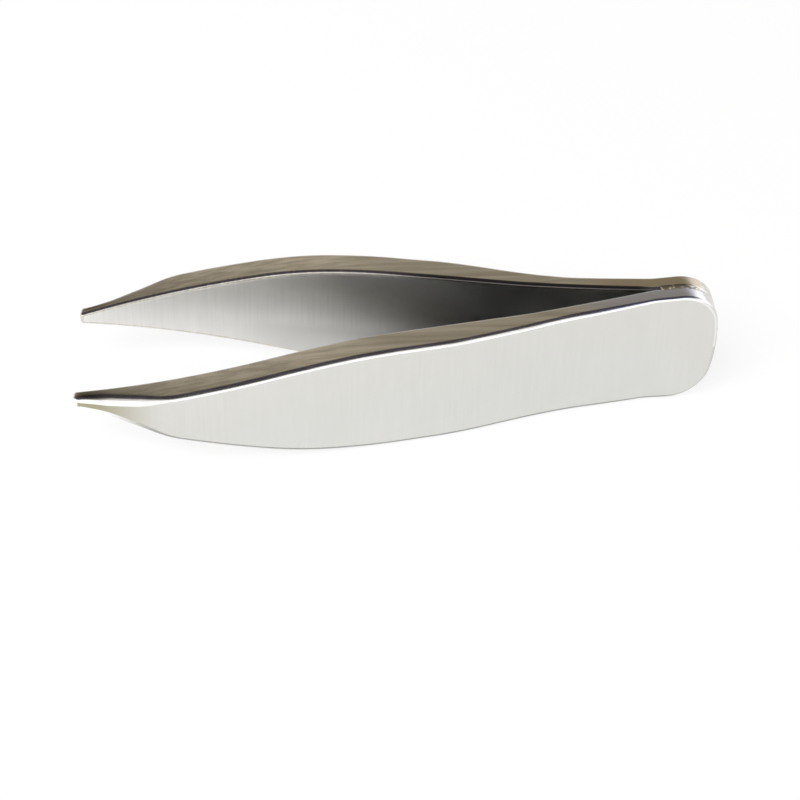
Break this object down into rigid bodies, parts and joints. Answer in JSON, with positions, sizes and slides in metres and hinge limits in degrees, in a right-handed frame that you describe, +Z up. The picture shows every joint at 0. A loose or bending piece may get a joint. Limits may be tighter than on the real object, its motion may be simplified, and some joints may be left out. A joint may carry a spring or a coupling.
{
  "type": "sharp point tweezers",
  "caption": "Short pointed tweezers: paired spring blades of thick polished steel, welded face to face at a wide heel, with broad grips that taper to sharp points.",
  "frame": {"origin": "middle of the bounding box, on the surface that the tweezers rest on", "axes": "+X towards the welded heel, with the points at -X; +Y towards the right-hand blade, with the weld plane at Y = 0; +Z up, across the width of the blades"},
  "size_m": [0.076, 0.023, 0.016],
  "materials": {
    "blade_steel": "satin polished faces, tumbled edges",
    "weld_steel": "dressed weld metal"
  },
  "bodies": {
    "root": {"left_arm": "blade_steel", "right_arm": "blade_steel", "heel_weld": "weld_steel"}
  },
  "joints": []
}
